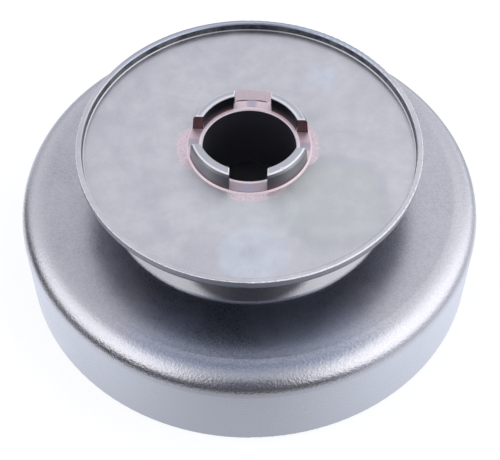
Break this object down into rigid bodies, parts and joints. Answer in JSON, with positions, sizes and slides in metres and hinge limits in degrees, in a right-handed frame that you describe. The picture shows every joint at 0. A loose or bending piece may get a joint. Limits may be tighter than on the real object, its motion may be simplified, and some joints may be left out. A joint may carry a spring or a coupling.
{
  "type": "chainsaw clutch drum",
  "caption": "Pressed steel clutch cup carrying a brazed spur sprocket between a bevelled flange and a dished guide disc, with a notched hub.",
  "frame": {"origin": "on the drum's axis, in the plane of the cup's open rim, on which the part stands", "axes": "+Z along the drum's axis, from the open rim towards the notched hub"},
  "size_m": [0.076, 0.076, 0.0301],
  "materials": {
    "drum_steel": "satin pressed steel with a fine grain, worn bright on the shoulder",
    "flange_steel": "satin turned steel",
    "disc_steel": "satin pressed steel with faint water stains",
    "sprocket_steel": "machined steel, darker on the sides of the crown and tinted with copper at the notches",
    "copper": "bright brazing copper, pale pink"
  },
  "bodies": {
    "root": {"drum_cup": "drum_steel", "lower_flange": "flange_steel", "sprocket": "sprocket_steel", "guide_disc": "disc_steel", "disc_braze": "copper", "cup_braze": "copper"}
  },
  "joints": []
}
